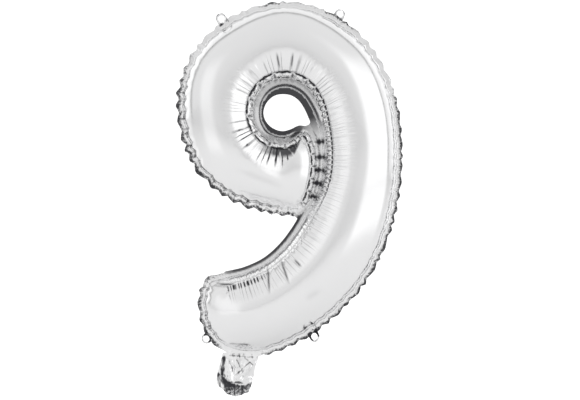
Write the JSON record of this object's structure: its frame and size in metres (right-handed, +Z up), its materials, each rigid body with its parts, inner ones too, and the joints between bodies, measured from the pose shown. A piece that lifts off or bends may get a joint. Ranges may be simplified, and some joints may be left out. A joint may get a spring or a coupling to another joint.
{
  "type": "foil number balloon",
  "caption": "Air-filled silver foil balloon shaped as the digit nine, with a scalloped seal flange, looped hanging tabs and a fill tail with a film valve.",
  "frame": {"origin": "centre of the whole balloon's box, in the seam plane", "axes": "+Z up the digit, +X to the reader's right, -Y towards the reader; the seam plane is Y = 0"},
  "size_m": [0.2244, 0.0722, 0.395],
  "materials": {
    "silver_foil": "mirror-bright metallised film, finely wrinkled near the seals",
    "clear_valve_film": "clear, slightly hazy film"
  },
  "bodies": {
    "envelope": {"front_foil_panel": "silver_foil", "back_foil_panel": "silver_foil", "valve_neck_front_film": "clear_valve_film", "valve_neck_back_film": "clear_valve_film"},
    "fill_tail": {"tail_front_leaf": "silver_foil", "tail_back_leaf": "silver_foil", "tail_valve_front_film": "clear_valve_film", "tail_valve_back_film": "clear_valve_film"},
    "valve_front_flap": {"valve_front_film": "clear_valve_film"},
    "valve_back_flap": {"valve_back_film": "clear_valve_film"},
    "tab_top_left": {"hanging_tab_top_left": "silver_foil"},
    "tab_top_right": {"hanging_tab_top_right": "silver_foil"},
    "tab_lower_right": {"hanging_tab_lower_right": "silver_foil"},
    "tab_lower_left": {"hanging_tab_lower_left": "silver_foil"}
  },
  "joints": [
    {"name": "tail_fold", "type": "hinge", "parent": "envelope", "child": "fill_tail", "pos_m": [-0.04877, 0, -0.15625], "axis": [0.9992, 0, -0.0394], "range_deg": [-90, 90], "stiffness_Nm_per_rad": 0.00004},
    {"name": "valve_front_open", "type": "hinge", "parent": "envelope", "child": "valve_front_flap", "pos_m": [-0.0485, -0.0003, -0.14926], "axis": [0.9992, 0, -0.0394], "range_deg": [0, 6], "stiffness_Nm_per_rad": 0.0001},
    {"name": "valve_back_open", "type": "hinge", "parent": "envelope", "child": "valve_back_flap", "pos_m": [-0.0485, 0.0003, -0.14926], "axis": [0.9992, 0, -0.0394], "range_deg": [-6, 0], "stiffness_Nm_per_rad": 0.0001},
    {"name": "tab_top_left_flex", "type": "hinge", "parent": "envelope", "child": "tab_top_left", "pos_m": [-0.06591, 0, 0.17536], "axis": [0.824, 0, 0.5666], "range_deg": [-75, 75], "stiffness_Nm_per_rad": 0.00002},
    {"name": "tab_top_right_flex", "type": "hinge", "parent": "envelope", "child": "tab_top_right", "pos_m": [0.04775, 0, 0.18032], "axis": [0.8537, 0, -0.5207], "range_deg": [-75, 75], "stiffness_Nm_per_rad": 0.00002},
    {"name": "tab_lower_right_flex", "type": "hinge", "parent": "envelope", "child": "tab_lower_right", "pos_m": [0.0226, 0, -0.13167], "axis": [0.8334, 0, 0.5526], "range_deg": [-75, 75], "stiffness_Nm_per_rad": 0.00002},
    {"name": "tab_lower_left_flex", "type": "hinge", "parent": "envelope", "child": "tab_lower_left", "pos_m": [-0.08004, 0, -0.13607], "axis": [0.5732, 0, -0.8194], "range_deg": [-75, 75], "stiffness_Nm_per_rad": 0.00002}
  ],
  "couplings": [
    {"joint": "valve_back_open", "follows": "valve_front_open", "ratio": -1}
  ]
}
